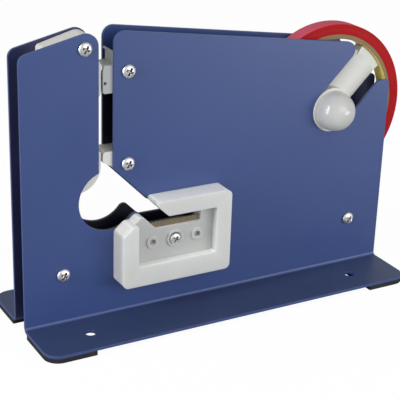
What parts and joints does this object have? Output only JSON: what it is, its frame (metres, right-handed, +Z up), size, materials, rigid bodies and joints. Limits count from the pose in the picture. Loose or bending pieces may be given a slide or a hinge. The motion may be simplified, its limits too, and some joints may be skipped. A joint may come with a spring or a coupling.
{
  "type": "bag neck sealer",
  "caption": "Counter-top bag neck sealer: folded steel side plates round a tape roll on a lift-out hub, a sprung press arm in the throat, tape guides and a toothed trimmer.",
  "frame": {"origin": "centre of the four bench holes, on the underside of the steel flanges", "axes": "+X along the plates from the throat to the tape roll, +Y from the trimmer's side to the back, +Z up"},
  "size_m": [0.2238, 0.0776, 0.1524],
  "materials": {
    "blue_paint": "satin powder coat",
    "foot_rubber": "matte",
    "screw_zinc": "bright zinc plate",
    "post_steel": "turned",
    "spring_steel": "drawn wire",
    "knife_steel": "ground",
    "arm_plastic": "moulded",
    "guide_plastic": "moulded",
    "housing_plastic": "moulded",
    "dowel_plastic": "moulded",
    "hub_plastic": "moulded",
    "knob_plastic": "polished",
    "roller_rubber": "matte",
    "core_card": "wound board",
    "tape_film": "wound film"
  },
  "bodies": {
    "frame": {"front_plate": "blue_paint", "rear_plate": "blue_paint", "foot_front_left": "foot_rubber", "foot_front_right": "foot_rubber", "foot_rear_left": "foot_rubber", "foot_rear_right": "foot_rubber", "frame_screws": "screw_zinc", "frame_nuts": "screw_zinc", "left_post": "post_steel", "right_post": "post_steel", "arm_sleeve": "post_steel", "arm_spring": "spring_steel", "upper_guide": "guide_plastic", "lower_guide": "guide_plastic", "guide_dowels": "post_steel", "tape_knife": "knife_steel", "guide_roller_pin": "post_steel", "trimmer_housing": "housing_plastic", "trimmer_knife": "knife_steel", "trimmer_dowels": "dowel_plastic", "trimmer_screw": "screw_zinc", "trimmer_nut": "screw_zinc"},
    "arm": {"press_arm": "arm_plastic", "arm_spring_pin": "post_steel"},
    "roller": {"guide_roller": "roller_rubber"},
    "hub": {"hub_bar": "hub_plastic", "hub_knob": "knob_plastic"},
    "roll": {"tape_core": "core_card", "tape_roll": "tape_film"}
  },
  "joints": [
    {"name": "arm_swing", "type": "hinge", "parent": "frame", "child": "arm", "pos_m": [-0.0742, 0, 0.14273], "axis": [0, 1, 0], "range_deg": [0, 6], "stiffness_Nm_per_rad": 0.05, "springref_deg": -34.38, "deforming": ["arm_spring"]},
    {"name": "guide_roller_spin", "type": "hinge", "parent": "frame", "child": "roller", "pos_m": [-0.0395, 0, 0.1035], "axis": [0, 1, 0], "continuous": true},
    {"name": "hub_lift", "type": "slide", "parent": "frame", "child": "hub", "axis": [0.7071, 0, 0.7071], "range_m": [0, 0.04]},
    {"name": "roll_spin", "type": "hinge", "parent": "hub", "child": "roll", "pos_m": [0.0703, 0, 0.0943], "axis": [0, 1, 0], "continuous": true}
  ]
}
